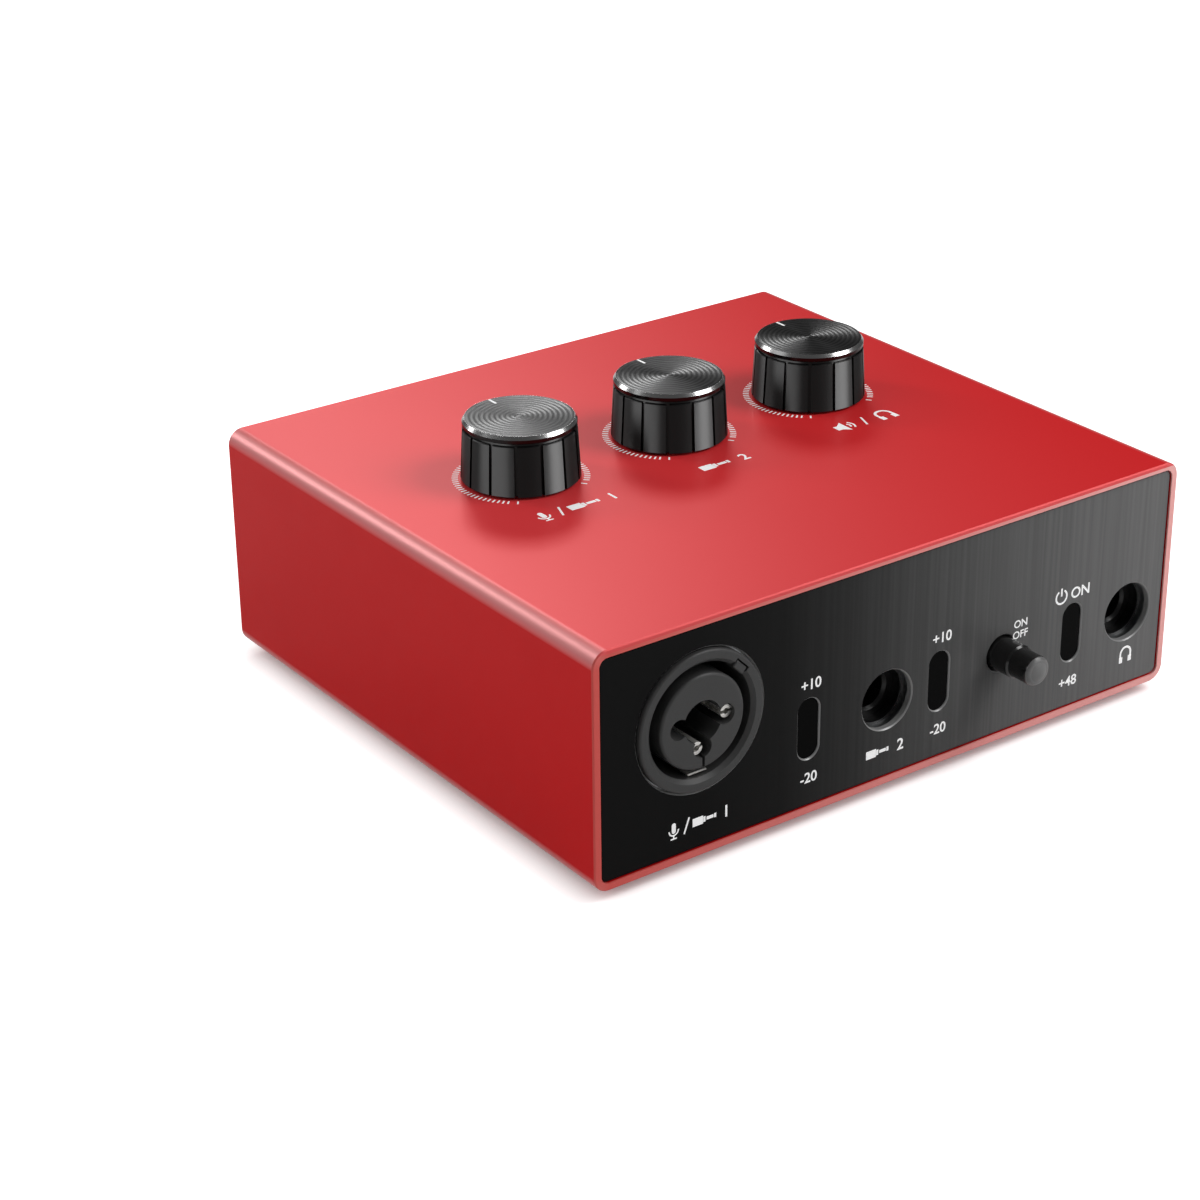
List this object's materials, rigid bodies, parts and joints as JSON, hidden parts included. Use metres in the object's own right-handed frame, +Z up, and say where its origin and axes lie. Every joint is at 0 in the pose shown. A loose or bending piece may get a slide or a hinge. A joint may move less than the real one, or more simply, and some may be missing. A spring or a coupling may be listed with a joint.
{
  "type": "audio interface",
  "caption": "Desktop audio interface: extruded sleeve with end panels, combined microphone and line socket, jacks, level windows, push button and turning knobs on top.",
  "frame": {"origin": "on the standing surface, under the centre of the whole object", "axes": "+Z up, +X to the right seen from the front, +Y towards the rear; the front panel faces -Y"},
  "size_m": [0.122, 0.1272, 0.054],
  "materials": {
    "red_anodised": "satin red anodised, fine brushed grain",
    "gloss_black": "black lacquer, graded to charcoal at one end",
    "zinc_steel": "zinc plated",
    "black_steel": "fine black powder coat",
    "foot_rubber": "matte",
    "board_laminate": "black solder mask",
    "socket_black": "moulded glass-filled nylon",
    "nickel": "nickel plated",
    "gold_contact": "gold flash",
    "smoked_lens": "smoked acrylic",
    "clear_light": "clear epoxy",
    "button_black": "polished black",
    "knob_grip": "satin black",
    "knob_top": "spun, dark anodised",
    "ribbon_grey": "flat cable",
    "white_print": "white screen ink and paint",
    "capacitor_sleeve": "shrink sleeve"
  },
  "bodies": {
    "housing": {"codec_chip": "socket_black", "combo_contacts": "nickel", "combo_core": "socket_black", "combo_ground_spring": "nickel", "combo_shell": "socket_black", "control_board": "board_laminate", "control_header": "socket_black", "filter_capacitors": "capacitor_sleeve", "foot_front_left": "foot_rubber", "foot_front_right": "foot_rubber", "foot_rear_left": "foot_rubber", "foot_rear_right": "foot_rubber", "front_fascia": "gloss_black", "front_plate": "zinc_steel", "front_screws": "zinc_steel", "headphone_contacts": "nickel", "headphone_jack": "socket_black", "instrument_contacts": "nickel", "instrument_jack": "socket_black", "light_holder_1": "socket_black", "light_holder_2": "socket_black", "light_holder_3": "socket_black", "main_board": "board_laminate", "main_header": "socket_black", "monitor_switch": "socket_black", "output_contacts_left": "nickel", "output_contacts_right": "nickel", "output_jack_left": "socket_black", "output_jack_right": "socket_black", "output_nuts": "nickel", "phantom_switch": "socket_black", "pot_nuts": "nickel", "pot_washers": "nickel", "potentiometer_1": "zinc_steel", "potentiometer_2": "zinc_steel", "potentiometer_3": "zinc_steel", "rear_panel": "black_steel", "rear_screws": "black_steel", "ribbon_cable": "ribbon_grey", "sleeve": "red_anodised", "usb_chip": "socket_black", "usb_contacts": "gold_contact", "usb_insulator": "socket_black", "usb_shield": "nickel", "window_lens_1": "smoked_lens", "window_lens_2": "smoked_lens", "window_lens_3": "smoked_lens", "window_lights": "clear_light"},
    "input_knob_1": {"knob_1": "knob_grip", "knob_cap_1": "knob_top", "shaft_1": "nickel"},
    "input_knob_2": {"knob_2": "knob_grip", "knob_cap_2": "knob_top", "shaft_2": "nickel"},
    "monitor_knob": {"knob_3": "knob_grip", "knob_cap_3": "knob_top", "shaft_3": "nickel"},
    "monitor_push": {"monitor_button": "button_black"},
    "phantom_push": {"phantom_button": "button_black"},
    "release_tab": {"combo_release_tab": "socket_black"}
  },
  "joints": [
    {"name": "input_1_turn", "type": "hinge", "parent": "housing", "child": "input_knob_1", "pos_m": [-0.0316, 0.00655, 0.043], "axis": [0, 0, 1], "range_deg": [-143, 143]},
    {"name": "input_2_turn", "type": "hinge", "parent": "housing", "child": "input_knob_2", "pos_m": [-0.0005, 0.00655, 0.043], "axis": [0, 0, 1], "range_deg": [-143, 143]},
    {"name": "monitor_turn", "type": "hinge", "parent": "housing", "child": "monitor_knob", "pos_m": [0.0306, 0.00655, 0.043], "axis": [0, 0, 1], "range_deg": [-143, 143]},
    {"name": "monitor_press", "type": "slide", "parent": "housing", "child": "monitor_push", "axis": [0, 1, 0], "range_m": [0, 0.0025], "stiffness_N_per_m": 400},
    {"name": "phantom_press", "type": "slide", "parent": "housing", "child": "phantom_push", "axis": [0, -1, 0], "range_m": [0, 0.0025], "stiffness_N_per_m": 400},
    {"name": "release_press", "type": "slide", "parent": "housing", "child": "release_tab", "axis": [0, 1, 0], "range_m": [0, 0.0008], "stiffness_N_per_m": 600}
  ]
}
